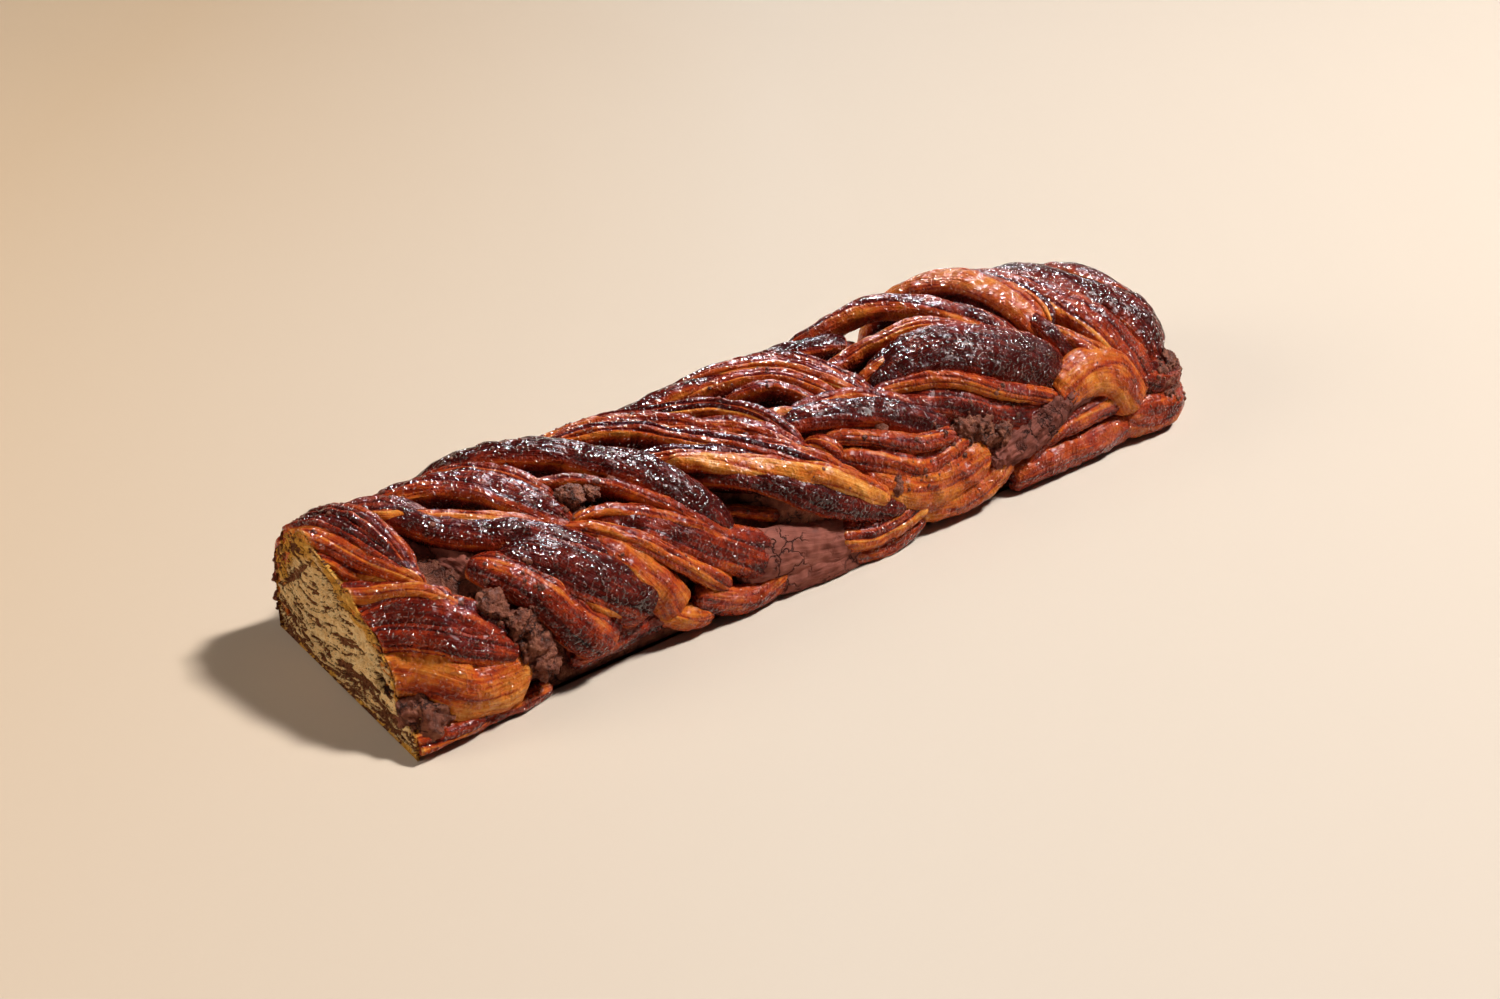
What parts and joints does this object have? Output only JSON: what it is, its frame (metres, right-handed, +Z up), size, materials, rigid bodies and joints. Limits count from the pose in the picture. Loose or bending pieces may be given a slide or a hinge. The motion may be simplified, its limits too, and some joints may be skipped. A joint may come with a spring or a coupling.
{
  "type": "chocolate babka",
  "caption": "Long twisted chocolate loaf with ridged, glossy folds of filled dough, cut straight across at one end.",
  "frame": {"origin": "middle of the flat base", "axes": "+X along the loaf from its cut end to its whole end, +Y to the back side, +Z up"},
  "size_m": [0.3681, 0.1, 0.0681],
  "materials": {
    "crust": "dark baked crust with a syrup glaze, chestnut where the dough shows",
    "crumb": "soft yellow crumb with thin layers of chocolate, at the cut",
    "chocolate": "dry, cracked chocolate filling in the grooves"
  },
  "bodies": {
    "root": {"babka": "crust"}
  },
  "joints": []
}
